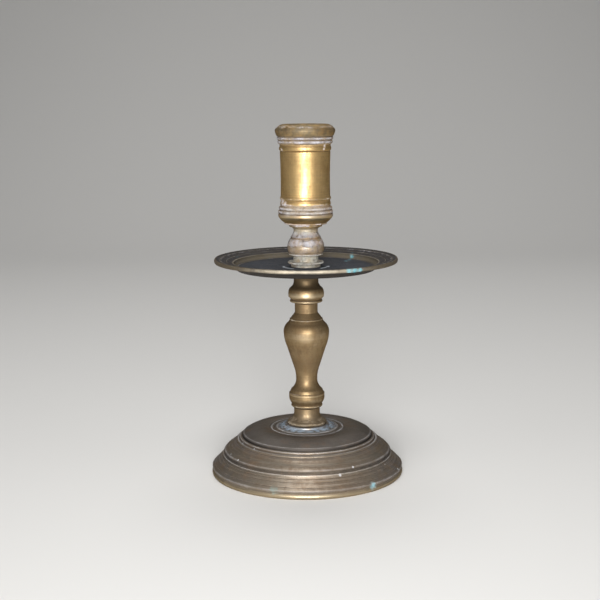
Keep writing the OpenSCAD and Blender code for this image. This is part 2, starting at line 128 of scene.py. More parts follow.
# Outlines: every step is (radius, height, share) in millimetres, as a turner would set them out

def course(a, b):
    return (Vector(b[:2]) - Vector(a[:2])).normalized()


def sweep(a, b, share):
    """Points after a and up to b on the arc that stands proud of the line a-b."""
    if share == 0:
        return [b]
    chord = (b - a).length
    along = (b - a) / chord
    out = Vector((along.y, -along.x)) * math.copysign(1, share)
    rise = abs(share) * chord
    radius = (chord * chord / 4 + rise * rise) / (2 * rise)
    middle = (a + b) / 2 + out * (rise - radius)
    half = math.atan2(chord / 2, radius - rise)
    parts = max(4, math.ceil(math.degrees(2 * half) / ARC_STEP))
    turns = [half * (2 * i / parts - 1) for i in range(1, parts + 1)]
    return [middle + radius * (out * math.cos(t) + along * math.sin(t)) for t in turns]


def turned(steps):
    points = [Vector(steps[0][:2])]
    for step in steps[1:]:
        points += sweep(points[-1], Vector(step[:2]), step[2])
    return points


def bead(inner, outer, low, high):
    return [(inner, low, 0), (inner, high, (outer - inner) / (high - low))]


def cut_line(place, up):
    into = Vector((-up.y, up.x))
    place = Vector(place)
    return [
        (*(place - up * LINE_W / 2), 0),
        (*(place + into * LINE_DEPTH), 0),
        (*(place + up * LINE_W / 2), 0),
    ]


def stack(start, **heights):
    """Heights of mouldings that stand on each other: each name holds where that moulding starts."""
    places = {}
    for name, height in heights.items():
        places[name] = start
        start += height
    places["top"] = start
    return places


def stem_heights(base_h):
    return stack(
        base_h, foot=2.4, foot_cove=5.7, lower_neck=3.9, lower_ring=3.3, lower_torus=5.9,
        lower_fillet=2.2, lower_step=2.7, waist_cove=7.6, vase=35.3, shoulder=7.2,
        shoulder_rise=1.7, shoulder_ring=1.1, upper_cove=4.3, upper_neck=6.8, upper_ring=2.8,
        upper_torus=9, reel=9.4, seat=4)


def pan_heights(base_h):
    return stack(stem_heights(base_h)["top"], plate=1.8, well=3.3, border=3.1)


def socket_heights(base_h):
    return stack(
        pan_heights(base_h)["well"], foot=3.6, short_neck=4.5, knop_fillet=1.8, knop=10.7,
        cup_cove=4.8, cup_neck=1.7, cup_flare=2, cup_fillet=2, cup_step=0.9, cup_bowl=6.6,
        bead_b=2.6, bead_a=2.6, soft_bead=3.6, ridge_gap=1.0, ridge=2.5,
        wall=37.1, rim_quirk=0.5, lower_rim_bead=2.6, upper_rim_bead=2.6, rim=6.3, mouth=2.0)


BOSS_H = 12
BASE_WALL = 2.8
FOOT_SCREW_R = 6
PAN_SCREW_R = 4.6
PAN_SCREW_L = 14
THREAD_GAP = 0.15
# How far the cup's wall is drawn in half way up, as a share of its height
WALL_WAIST = 0.008
CENTRE_DEPTH = 1.6


def base_outline(base_r, base_h):
    foot_bead = base_r - 0.8
    side = Vector((base_r - EDGE / 2, 5.9))
    lip = Vector((62.4, 14.1))
    tier_edge = Vector((61.9, 16.6))
    tier_top = Vector((53.1, 24.3))
    middle = (tier_edge + tier_top) / 2
    outer_line = Vector((27.6, base_h - 2.8))
    inner_line = Vector((24.1, base_h - 2.8))
    seat_foot = base_h - 1.5
    crown = seat_foot - 2 * QUIRK - BASE_WALL
    steps = bead(foot_bead, base_r, 0, 3.4)
    steps += [(foot_bead, 3.4 + QUIRK, 0), (*side, SLIGHT)]
    for share in (0.26, 0.62, 0.84):
        steps += cut_line(side + (lip - side) * share, course(side, lip))
    steps += [
        (*lip, 0), (61.9, 15, ROUND), (61.4, 15, 0), (61.4, 15.9, 0),
        (*tier_edge, 0), (*middle, SLIGHT), (*tier_top, -SLIGHT),
        (52.6, 24.3, 0), (50.9, 25.6, ROUND), (50.6, 25.6, 0),
        (49.8, 26.8, 0), (48.2, 27.7, ROUND), (47.9, 27.7, 0), (47.4, 29.6, SOFT),
        (outer_line.x + LINE_W / 2, outer_line.y, 0.1),
    ]
    steps += cut_line(outer_line, course(outer_line, inner_line))
    steps += cut_line(inner_line, course(outer_line, inner_line))
    steps += [
        (20 + LINE_W, seat_foot - QUIRK, 0), (20, seat_foot - 2 * QUIRK, 0),
        (20 - LINE_W, seat_foot - QUIRK, 0), (17.5, seat_foot, SLIGHT),
        (16.5, seat_foot, 0), (16, base_h, SOFT),
        (FOOT_SCREW_R + THREAD_GAP, base_h, 0),
        (FOOT_SCREW_R + THREAD_GAP, base_h - BOSS_H, 0),
        (13, base_h - BOSS_H, 0), (13, crown, 0), (20, crown, 0),
        (47.4 - BASE_WALL, 29.6 - BASE_WALL, -SLIGHT),
        (52.6 - BASE_WALL, 24.3 - BASE_WALL, 0),
        (61.4 - BASE_WALL, 15 - BASE_WALL, 0),
        (side.x - 4.2, side.y, -SLIGHT), (foot_bead - 4.2, 0, 0),
    ]
    return steps


def stem_outline(base_h):
    at = stem_heights(base_h)
    foot = at["foot"] - BOSS_H
    vase_rise = at["shoulder"] - at["vase"]
    screw_hole = pan_heights(base_h)["well"] - PAN_SCREW_L - 1
    steps = [
        (0, foot + CENTRE_DEPTH, 0), (CENTRE_DEPTH, foot, 0),
        (FOOT_SCREW_R, foot, 0), (FOOT_SCREW_R, at["foot"], 0),
        (13.9, at["foot"], 0), (13.9, at["foot_cove"], ROUND), (13.4, at["foot_cove"], 0),
        (9.5, at["lower_neck"], -SOFT), (9.5, at["lower_ring"], 0),
    ]
    steps += bead(10.95, 11.6, at["lower_ring"] + 2 * QUIRK, at["lower_torus"] - EDGE)
    steps += [
        (10.95, at["lower_torus"], 0), (13.1, at["lower_fillet"], SOFT),
        (13.1, at["lower_step"], 0), (12.4, at["lower_step"], 0),
        (11.4, at["waist_cove"], SLIGHT), (7.8, at["vase"], -SOFT),
        (9.78, at["vase"] + vase_rise * 0.29, -SLIGHT),
        (14.28, at["vase"] + vase_rise * 0.68, 0),
        (16.8, at["shoulder"], SLIGHT), (13.2, at["shoulder_rise"], SOFT),
        (12.1, at["shoulder_ring"], 0), (11.6, at["upper_cove"], ROUND),
        (8.35, at["upper_neck"], 0), (8.35, at["upper_ring"], 0),
    ]
    steps += bead(11, 12, at["upper_ring"] + 2 * QUIRK, at["upper_torus"] - EDGE)
    steps += [
        (11, at["upper_torus"], 0), (12.2, at["upper_torus"] + 1.5, SLIGHT),
        (12.9, at["upper_torus"] + 2, 0), (12.9, at["upper_torus"] + 5.98, SLIGHT),
        (11.2, at["reel"], SOFT), (9, (at["reel"] + at["seat"]) / 2, -SOFT),
        (14, at["seat"], -ROUND), (14.5, at["seat"], 0), (14.5, at["top"] - 1.5, ROUND),
        (15.5, at["top"] - 1, 0), (15.5, at["top"], 0),
        (PAN_SCREW_R + THREAD_GAP, at["top"], 0),
        (PAN_SCREW_R + THREAD_GAP, screw_hole, 0), (0, screw_hole, 0),
    ]
    return steps


def pan_outline(base_h, pan_r):
    at = pan_heights(base_h)
    inside = pan_r - 1.6
    return [
        (PAN_SCREW_R + 0.3, at["plate"], 0), (50.3, at["plate"], 0),
        (53.1, at["border"] - 1.8, 0), (inside - QUIRK, at["top"] - 2.1, 0),
        (inside, at["top"] - 2.8, 0), (pan_r - QUIRK, at["top"] - 2.8, 0),
        (pan_r - QUIRK, at["top"], QUIRK / 2.8), (inside, at["top"], 0),
        (inside - EDGE, at["top"] - EDGE, 0), (pan_r - 4.6, at["top"] - 0.8, 0),
        (52.5, at["border"], 0), (50.3, at["well"], -SOFT),
        (PAN_SCREW_R + 0.3, at["well"], 0),
    ]


def socket_outline(base_h, rim_r, bore_r):
    at = socket_heights(base_h)
    end = at["foot"] - PAN_SCREW_L
    up = Vector((0, 1))
    rim_edge = rim_r - 1.5
    cup_r = 17.85
    band_r = cup_r + 2.5 * EDGE
    scribe = at["rim_quirk"] - 4.8
    steps = [
        (0, end + CENTRE_DEPTH, 0), (CENTRE_DEPTH, end, 0), (PAN_SCREW_R, end, 0),
        (PAN_SCREW_R, at["foot"], 0), (10.9, at["foot"], 0),
        (10.9, at["short_neck"] - 1, -SLIGHT), (13.1, at["short_neck"] - 1, 0),
        (12.8, at["short_neck"], SLIGHT),
        (9.1, at["short_neck"] + 1, -ROUND), (9.1, at["knop_fillet"], 0),
    ]
    steps += bead(11.9, 12.4, at["knop_fillet"] + EDGE, at["knop"])
    steps += [(12.95, at["knop"] + 1.5, SLIGHT), (11.1, at["cup_cove"], SOFT)]
    steps += cut_line((11.1, at["cup_cove"] + LINE_W / 2), up)
    steps += [
        (8.8, at["cup_neck"], -SLIGHT), (8.8, at["cup_flare"], 0),
        (11.4, at["cup_fillet"], -SOFT), (11.7, at["cup_fillet"], 0),
        (11.7, at["cup_step"], SOFT), (15.4, at["cup_step"], 0),
        (15.4, at["cup_bowl"], 0), (19.1, at["cup_bowl"] + 3.5, SLIGHT),
        (19.7, at["bead_b"] - EDGE, SOFT),
    ]
    steps += bead(18.85, 19.85, at["bead_b"], at["bead_a"])
    steps += bead(18.35, 19.35, at["bead_a"], at["soft_bead"])
    steps += bead(17.8, 18.3, at["soft_bead"] + EDGE, at["ridge_gap"])
    steps += [(cup_r, at["ridge_gap"], 0)]
    steps += bead(cup_r, 18.45, at["ridge"], at["wall"])
    steps += [(cup_r + EDGE, scribe - LINE_W, -WALL_WAIST)]
    steps += cut_line((cup_r + EDGE, scribe), up)
    steps += [
        (band_r, scribe + LINE_W, 0), (band_r, at["rim_quirk"] - 1.8, SLIGHT),
        (band_r - EDGE, at["rim_quirk"] - 1.5, 0), (band_r - EDGE, at["rim_quirk"] - 0.6, 0),
        (18.75, at["lower_rim_bead"], -SOFT),
    ]
    steps += bead(19.25, 19.75, at["lower_rim_bead"], at["upper_rim_bead"])
    steps += bead(19.25, 20.25, at["upper_rim_bead"], at["rim"])
    steps += [
        (rim_edge, at["rim"], 0), (rim_r, at["rim"] + 4, SLIGHT), (rim_edge, at["mouth"], SOFT),
        (rim_edge - 1, at["mouth"] + 1, SOFT), (bore_r + 1, at["top"], SOFT),
        (bore_r, at["top"] - 1, 0), (bore_r, at["top"] - 54, 0), (0, at["top"] - 54, 0),
    ]
    return steps


# Turning: an outline is softened at its corners, spun about the axis and closed

def corner_turn(vert):
    """How far the outline turns at a point, in degrees."""
    first, second = (e.other_vert(vert).co - vert.co for e in vert.link_edges)
    return math.degrees(math.pi - first.angle(second))


def soften(outline, offset, shortest):
    corners = [
        v for v in outline.verts
        if len(v.link_edges) == 2 and corner_turn(v) > 18
        and min(e.calc_length() for e in v.link_edges) > shortest]
    bmesh.ops.bevel(
        outline, geom=corners, offset=offset, offset_type="OFFSET", segments=3, profile=0.5,
        affect="VERTICES", clamp_overlap=True, material=-1)


def spin_piece(name, steps, turns):
    piece = bmesh.new()
    points = [piece.verts.new((p.x * MM, 0, p.y * MM)) for p in turned(steps)]
    for a, b in zip(points, points[1:]):
        piece.edges.new((a, b))
    if points[-1].co.x > 0 or points[0].co.x > 0:
        piece.edges.new((points[-1], points[0]))
    bmesh.ops.remove_doubles(piece, verts=piece.verts, dist=0.00001)
    soften(piece, 0.00028, 0.0011)
    soften(piece, 0.0001, 0.00028)
    bmesh.ops.spin(
        piece, geom=piece.verts[:] + piece.edges[:], cent=(0, 0, 0), axis=(0, 0, 1),
        angle=math.tau, steps=turns, use_merge=True)
    bmesh.ops.remove_doubles(piece, verts=piece.verts, dist=0.000002)
    bmesh.ops.recalc_face_normals(piece, faces=piece.faces)
    mesh = bpy.data.meshes.new(name)
    piece.to_mesh(mesh)
    piece.free()
    return mesh


def hand_work(mesh, depth, droop=0.0, flat_to=0.0):
    """Small unevenness of an old casting: surfaces only sink inwards, so sizes never grow."""
    for vert in mesh.vertices:
        x, y, z = vert.co
        radius = math.hypot(x, y)
        if radius < flat_to:
            continue
        dent = 0.5 + 0.5 * noise.noise(Vector((x * 38, y * 38, z * 26)))
        away = min(1.0, (radius - flat_to) / 0.01)
        vert.co.x -= x / radius * depth * dent * away
        vert.co.y -= y / radius * depth * dent * away
        if droop:
            swing = 0.5 + 0.5 * noise.noise(Vector((x * 14, y * 14, 3.1)))
            vert.co.z -= droop * swing * (radius / 0.066) ** 2 * away


def finish_piece(mesh, node, material):
    mesh.polygons.foreach_set("use_smooth", [True] * len(mesh.polygons))
    mesh.set_sharp_from_angle(angle=math.radians(50))
    piece = bpy.data.objects.new(node + "_turned", mesh)
    bpy.context.scene.collection.objects.link(piece)
    piece.data.materials.append(material)
    weighted = piece.modifiers.new("Even shading", "WEIGHTED_NORMAL")
    weighted.keep_sharp = True
    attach(piece, "root")
    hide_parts(node)
    return piece


# Finishes: shader maths written as Python expressions

# Old metal takes on a dull skin, so it mirrors less than new metal where it turns away
EDGE_TINT = (0.25, 0.21, 0.17, 1)


class Field:
    """A socket that Python's operators work on, each adding one Math node."""

    def __init__(self, recipe, socket):
        self.recipe = recipe
        self.socket = socket

    def maths(self, operation, *others, clamp=False):
        settings = {"operation": operation, "use_clamp": clamp}
        return self.recipe.node("ShaderNodeMath", settings, dict(enumerate((self, *others))))

    def __add__(self, other):
        return self.maths("ADD", other)

    __radd__ = __add__

    def __sub__(self, other):
        return self.maths("SUBTRACT", other)

    def __rsub__(self, other):
        return self.recipe.number(other).maths("SUBTRACT", self)

    def __mul__(self, other):
        return self.maths("MULTIPLY", other)

    __rmul__ = __mul__

    def __truediv__(self, other):
        return self.maths("DIVIDE", other)

    def __pow__(self, other):
        return self.maths("POWER", other)

    def __abs__(self):
        return self.maths("ABSOLUTE")

    def within(self):
        return self.maths("ADD", 0.0, clamp=True)

    def larger(self, other):
        return self.maths("MAXIMUM", other)

    def rise(self, low, high):
        """0 below low, 1 above high and an even slope between."""
        return ((self - low) / (high - low)).within()

    def around(self, middle, reach):
        """1 at middle, falling to 0 at a distance of reach."""
        return (1 - abs(self - middle) / reach).within()


class Recipe:
    """One material and the only method that adds nodes to it."""

    def __init__(self, name):
        self.material = bpy.data.materials.new(name)
        self.material.use_nodes = True
        self.tree = self.material.node_tree
        self.tree.nodes.clear()
        place = self.node("ShaderNodeTexCoord", output="Object")
        self.place = place
        self.x = self.node("ShaderNodeSeparateXYZ", inputs={0: place}, output="X")
        self.y = self.node("ShaderNodeSeparateXYZ", inputs={0: place}, output="Y")
        self.z = self.node("ShaderNodeSeparateXYZ", inputs={0: place}, output="Z")
        self.radius = (self.x * self.x + self.y * self.y) ** 0.5

    def node(self, kind, settings=None, inputs=None, output=0):
        made = self.tree.nodes.new(kind)
        for key, value in (settings or {}).items():
            if key == "stops":
                ramp = made.color_ramp
                while len(ramp.elements) < len(value):
                    ramp.elements.new(0.5)
                for element, (position, colour) in zip(ramp.elements, value):
                    element.position = position
                    element.color = colour
            else:
                setattr(made, key, value)
        for key, value in (inputs or {}).items():
            if isinstance(value, Field):
                self.tree.links.new(value.socket, made.inputs[key])
            else:
                made.inputs[key].default_value = value
        return Field(self, made.outputs[output]) if made.outputs else None

    def number(self, value):
        return value if isinstance(value, Field) else self.node(
            "ShaderNodeMath", {"operation": "ADD"}, {0: value, 1: 0.0})

    def mix(self, share, first, second):
        return self.node(
            "ShaderNodeMix", {"data_type": "RGBA"}, {0: share, 6: first, 7: second}, output=2)

    def grain(self, scale, detail=4.0, rough=0.55, stretch=None):
        place = self.place
        if stretch:
            place = self.node(
                "ShaderNodeVectorMath", {"operation": "MULTIPLY"}, {0: place, 1: stretch})
        return self.node(
            "ShaderNodeTexNoise", None,
            {"Vector": place, "Scale": scale, "Detail": detail, "Roughness": rough})

    def rings(self, along, scale, detail=3.0):
        """Marks of the turning tool, which run round the axis and change only along it."""
        return self.node(
            "ShaderNodeTexNoise", {"noise_dimensions": "1D"},
            {"W": along, "Scale": scale, "Detail": detail, "Roughness": 0.7})

    def bump(self, height, distance, under=None):
        inputs = {"Height": height, "Distance": distance, "Strength": 1.0}
        if under:
            inputs["Normal"] = under
        return self.node("ShaderNodeBump", None, inputs)

    def surface(self, colour, metallic, roughness, normal, edge=EDGE_TINT):
        shader = self.node(
            "ShaderNodeBsdfPrincipled", None,
            {"Base Color": colour, "Metallic": metallic.within(),
             "Roughness": roughness.within(), "Normal": normal, "Specular Tint": edge})
        self.node("ShaderNodeOutputMaterial", None, {"Surface": shader})
        return self.material


def rgb(colour):
    return (*colour, 1.0)


def bands_along(line, bands):
    """Rings on a turned piece: bands are (middle, reach, share) in millimetres."""
    total = None
    for middle, reach, share in bands:
        one = line.around(middle * MM, reach * MM) * share
        total = one if total is None else total.larger(one)
    return total


def aged_brass(made, line, finish, look):
    """Old brass: a body colour with bright rings of wear that also carry painted highlights, brown
    skin, dark rings of dirt that also carry painted shade, dark specks and dried polish.

    line is the height or radius that the turning tool moved along. look holds the piece's
    own colours, shares and rings."""
    clouds = made.grain(42, 5.0, 0.6)
    patches = made.grain(150, 6.0, 0.65)
    streaks = made.grain(420, 4.0, 0.6, (1, 1, 0.12))
    specks = made.grain(820, 3.0, 0.6)
    crumbs = made.grain(1300, 4.0, 0.7)
    tool = made.rings(line, 620, 4.0)
    fine_tool = made.rings(line, 2400, 2.0)
    # Bright rings: wear on edges and mouldings, and in places painted highlight where a lamp would
    # shine
    wear_and_sheen = bands_along(line, look["wear_and_sheen"]) * (0.3 + clouds * 1.4) + (patches - 0.5) * 0.8
    wear_and_sheen = wear_and_sheen.rise(0.2, 0.9)
    skin = clouds * 0.5 + patches * 0.5 + (streaks - 0.5) * 0.3 + (tool - 0.5) * 0.2
    skin = (skin - wear_and_sheen * 0.1).rise(0.6 - look["tarnish"] * 0.3, 0.72 - look["tarnish"] * 0.2)
    # Dark rings: dirt and tarnish in the hollows, and in places painted shade
    grime_and_shade = (bands_along(line, look["grime_and_shade"]) + (patches - 0.5) * 0.5).rise(0.15, 0.8)
    spots = specks.rise(0.62, 0.7) * patches.rise(0.48, 0.6)
    colour = made.mix(clouds.rise(0.35, 0.65), rgb(look["body"]), rgb(look["second"]))
    colour = made.mix((tool - 0.3) * look["tool"], colour, rgb(look["skin"]))
    stripes = (streaks * 0.55 + clouds * 0.45).rise(0.44, 0.62)
    colour = made.mix(stripes * look["streaks"], colour, rgb(look["brown"]))
    colour = made.mix((skin * look["tarnish"]).larger(grime_and_shade * 0.85), colour, rgb(look["skin"]))
    colour = made.mix(spots * 0.6, colour, rgb(look["skin"]))
    colour = made.mix(wear_and_sheen * 0.7, colour, rgb(look["bright"]))
    chips = patches.rise(0.38, 0.54) * 0.65 + 0.35
    dried = bands_along(line, look["dried"]) * (0.5 + finish.residue_amount) * chips
    dried = dried + (patches - 0.5) * 1.1 + (crumbs - 0.5) * 0.7 + (clouds - 0.5) * 1.1
    dried = dried.rise(0.36, 0.9) * (1 - grime_and_shade * 0.8)
    pale = (patches * 0.4 + streaks * 0.35 + crumbs * 0.25).rise(0.43, 0.56)
    stain = made.mix(pale, rgb(look["stain"]), rgb(look["residue"]))
    colour = made.mix(dried * (pale * 0.35 + 0.6), colour, stain)
    metallic = look["metal"] + wear_and_sheen * (0.7 - look["metal"] * 0.7)
    metallic = metallic - dried * 0.95 - skin * 0.2 - grime_and_shade * 0.3
    roughness = look["gloss"] + (clouds - 0.5) * 0.16 + skin * 0.1 + (specks - 0.5) * 0.12
    roughness = roughness - wear_and_sheen * 0.05 + dried * 0.4 + grime_and_shade * 0.15
    marks = tool * 0.7 + fine_tool * 0.3
    normal = made.bump(marks, finish.tool_mark_depth)
    normal = made.bump(patches * 0.5 + specks * 0.5, 0.00014, normal)
    normal = made.bump(dried * (0.5 + crumbs), 0.0004, normal)
    return colour, metallic, roughness, normal


def patch(made, x, y, z, reach):
    """A soft round patch about one place, in millimetres."""
    away = made.node(
        "ShaderNodeVectorMath", {"operation": "DISTANCE"},
        {0: made.place, 1: (x * MM, y * MM, z * MM)}, output="Value")
    return (1 - away / (reach * MM)).within()


def patches_at(made, places):
    total = None
    for place in places:
        one = patch(made, *place)
        total = one if total is None else total.larger(one)
    return total


def base_brass(finish):
    """Grey-brown brass: edges bright from wear and painted highlight, dirt and painted shade in the
    hollows, pale lines that are partly dried polish and partly painted highlight, bluish rings on top,
    and painted shade on the dome, in the grooves and at the left and right.
    """
    made = Recipe("base_brass")
    line = made.radius - made.z

    def ring(r, z, reach, share):
        return (r - z, reach, share)

    look = {
        "body": finish.grey_brass, "second": (0.25, 0.20, 0.155), "skin": (0.075, 0.062, 0.052),
        "bright": (0.47, 0.40, 0.32), "stain": (0.25, 0.24, 0.23),
        "residue": (0.50, 0.50, 0.52), "brown": (0.22, 0.155, 0.095), "streaks": 0.5,
        "tarnish": 0.5, "tool": 0.5, "metal": 0.85, "gloss": 0.43,
        # Bright rings: wear on the edges, and painted highlight on the step edges, the tier's lip and
        # the tier's slope
        "wear_and_sheen": [
            ring(70.5, 1.7, 2.4, 0.7), ring(69.6, 5.9, 1.0, 0.5), ring(67, 8.6, 1.3, 0.5),
            ring(64.4, 11.6, 1.0, 0.5), ring(62.5, 14.2, 2.6, 0.9), ring(61.9, 16.6, 0.8, 0.5),
            ring(51.5, 25.2, 1.4, 0.9), ring(49.0, 27.3, 1.1, 0.1), ring(57.0, 20.8, 3.0, 0.9),
            ring(26.0, 33.5, 1.0, 1.1), ring(22.1, 34.1, 0.9, 1.1)],
        # Dark rings: dirt in the hollows, and painted shade at the top of the tier's slope
        "grime_and_shade": [
            ring(61.4, 16.0, 1.7, 1.3), ring(52.6, 24.2, 1.1, 1.2), ring(50.4, 26.1, 1.1, 1.2),
            ring(47.7, 28.4, 1.2, 1.3), ring(70, 3.8, 0.8, 0.9), ring(68.5, 8, 0.6, 0.9),
            ring(65.5, 11, 0.5, 0.7), ring(63.7, 12.8, 0.5, 0.7), ring(27.6, 33.5, 0.8, 0.9),
            ring(24.1, 33.5, 0.9, 1.0), ring(19.9, 33.9, 1.5, 1.0), ring(53.6, 23.7, 2.0, 0.9),
            ring(47.4, 29.4, 1.2, 1.2), ring(49.4, 27.5, 1.0, 0.6),
            ring(61.2, 16.8, 1.6, 0.6), ring(65.1, 11.4, 1.0, 0.5)],
        "dried": [
            ring(26.0, 33.5, 1.1, 1.1), ring(22.1, 34.1, 1.1, 1.1),
            ring(17.2, 34.8, 1.8, 1.0), ring(28.6, 33.4, 0.6, 0.35)],
    }
    colour, metallic, roughness, normal = aged_brass(made, line, finish, look)
    # Painted shade: the dome is darkened, most towards its outer edge
    dome = (1 - made.radius.rise(46 * MM, 50 * MM)) * made.radius.rise(-30 * MM, 40 * MM)
    colour = made.mix(dome * 0.6, colour, (0.13, 0.127, 0.127, 1))
    # Painted shade: the base's left and right ends, as the camera sees them, turn darker blue-grey in
    # patches
    side_painted_shade = abs(made.x).rise(34 * MM, 66 * MM) * made.grain(110, 5.0, 0.65).rise(0.38, 0.58)
    colour = made.mix(side_painted_shade * 0.5, colour, (0.17, 0.172, 0.182, 1))
    rusty = made.grain(75, 5.0, 0.65).rise(0.52, 0.68)
    colour = made.mix(rusty * 0.45, colour, (0.21, 0.135, 0.08, 1))
    # Pale lines on the mouldings: partly dried polish, partly painted highlight, weaker at the front
    lines = bands_along(line, [
        ring(46.5, 29.6, 0.8, 0.9), ring(49.5, 27.2, 0.7, 1.0), ring(51.0, 25.5, 1.0, 1.2),
        ring(60.7, 17.8, 1.7, 0.8), ring(62.4, 14.9, 0.9, 1.0), ring(69.8, 5.3, 1.6, 0.8),
        ring(26.4, 33.5, 1.0, 1.2), ring(22.6, 34.1, 1.0, 1.2)])
    lines = (lines * 1.3 + (made.grain(130, 6.0, 0.7) - 0.5) * 2.2).rise(0.35, 1.3)
    away = 1 - made.y.rise(-20 * MM, -60 * MM)
    colour = made.mix(lines * (away * 0.4 + 0.4), colour, (0.35, 0.345, 0.35, 1))
    gold = (1 - made.z.rise(2.2 * MM, 4.2 * MM)) * 0.5
    colour = made.mix(gold, colour, (0.40, 0.31, 0.17, 1))
    # Painted shade: near-black bands at the dome's lip and in two hollows of the tiers, weaker at the
    # front
    grooves = bands_along(line, [
        ring(48.0, 28.6, 1.7, 1.3), ring(50.2, 26.4, 0.6, 0.8), ring(61.4, 16.2, 1.5, 0.85)]).within()
    grooves = grooves * (away * 0.5 + 0.45)
    colour = made.mix(grooves, colour, (0.016, 0.014, 0.013, 1))
    fleck = patches_at(made, (
        (31.9, -51.9, 17.8, 1.5), (22.5, -58.2, 14.0, 1.7), (55.9, -29.9, 12.6, 0.9),
        (65.9, -22.4, 6.9, 1.3), (-49.9, -34.2, 18.2, 1.1), (-55.6, -21.7, 18.9, 1.0),
        (-46.9, -18.1, 26.1, 1.0), (-38.3, -32.8, 25.8, 0.9), (49, 36, 21, 1.3)))
    fleck = (fleck * 1.3 + (made.grain(700, 3.0) - 0.5) * 1.0).rise(0.25, 1.1)
    spot = patch(made, 46.1, -53.1, 4.4, 4.6)
    blue = (spot * 1.3 + (made.grain(520, 4.0) - 0.5) * 1.3).rise(0.3, 1.15)
    faint = patch(made, -24.3, -66, 6.1, 6).larger(patch(made, 60, 35, 6, 7))
    faint = (faint + (made.grain(500, 4.0) - 0.5) * 1.5).rise(0.4, 0.8)
    foot_ring = line.around(-16.8 * MM, 5 * MM) * made.grain(260, 4.0).rise(0.35, 0.55)
    colour = made.mix((foot_ring * 1.2).within() * 0.85, colour, (0.33, 0.42, 0.52, 1))
    colour = made.mix(faint * 0.5, colour, (0.18, 0.26, 0.24, 1))
    colour = made.mix(blue * 0.9, colour, (0.22, 0.42, 0.48, 1))
    colour = made.mix(fleck * 0.85, colour, (0.52, 0.54, 0.57, 1))
    metallic = metallic - fleck * 0.8 - blue * 0.8 - foot_ring * 0.5 - faint * 0.3 - lines * 0.45
    return made.surface(colour, metallic, roughness + fleck * 0.3 + blue * 0.3, normal)


def stem_brass(finish, at):
    """Satin brown-gold brass, brighter on the mouldings that a hand closes on, from wear and painted
    highlight, with painted shade on the lower vase and under the drip pan.
    """
    made = Recipe("stem_brass")
    look = {
        "body": finish.dull_brass, "second": (0.25, 0.178, 0.094), "skin": (0.08, 0.055, 0.036),
        "bright": (0.70, 0.57, 0.38), "stain": (0.30, 0.26, 0.22),
        "residue": (0.42, 0.37, 0.31), "brown": (0.20, 0.12, 0.055), "streaks": 0.55,
        "tarnish": 0.45, "tool": 0.25, "metal": 0.9, "gloss": 0.49,
        # Bright rings: wear where a hand closes, and painted highlight on the shoulder and the upper
        # torus
        "wear_and_sheen": [
            (at["foot"] + 1.6, 1.4, 0.5), (at["lower_ring"] + 1.9, 1.2, 0.5),
            (at["lower_fillet"] - 2.6, 2.6, 0.4), (at["lower_fillet"] + 1.1, 1.0, 0.6),
            (at["shoulder"] - 3, 9, 0.35), (at["shoulder_ring"] + 0.5, 0.8, 0.7),
            (at["upper_ring"] + 1.8, 1.2, 0.6), (at["upper_torus"] + 3.5, 3, 0.9)],
        # Dark rings: dirt in the hollows, and painted shade on the lower vase and under the drip pan
        "grime_and_shade": [
            (at["foot_cove"] + 0.2, 0.6, 0.6), (at["lower_ring"] + 0.5, 0.9, 1.0),
            (at["lower_torus"] + 0.1, 0.6, 0.9), (at["lower_fillet"], 0.4, 0.6),
            (at["lower_step"] + 0.2, 0.5, 0.7), (at["shoulder_rise"], 0.6, 0.5),
            (at["upper_cove"] + 0.3, 0.6, 0.6), (at["upper_ring"] + 0.4, 0.9, 1.0),
            (at["upper_torus"], 0.6, 0.9), (at["seat"] - 1, 4, 0.5),
            (at["vase"] + 13, 16, 0.42)],
        "dried": [
            (at["foot"] + 1.2, 2.2, 0.8), (at["foot_cove"] + 1.2, 3.2, 0.45),
            (at["lower_ring"] + 1.9, 0.9, 0.5), (at["lower_step"] + 0.1, 0.7, 0.6),
            (at["shoulder_ring"] + 0.4, 0.7, 0.7)],
    }
    colour, metallic, roughness, normal = aged_brass(made, made.z, finish, look)
    dull_foot = 1 - made.z.rise(at["foot"] * MM, (at["lower_ring"] + 3) * MM)
    colour = made.mix(dull_foot * 0.75, colour, (0.235, 0.19, 0.135, 1))
    # Painted shade: the top of the stem under the drip pan goes nearly black
    painted_shade_under_pan = made.z.rise((at["upper_torus"] + 6.5) * MM, (at["upper_torus"] + 9.5) * MM)
    colour = made.mix(painted_shade_under_pan * 0.6, colour, (0.05, 0.038, 0.025, 1))
    return made.surface(colour, metallic, roughness, normal)


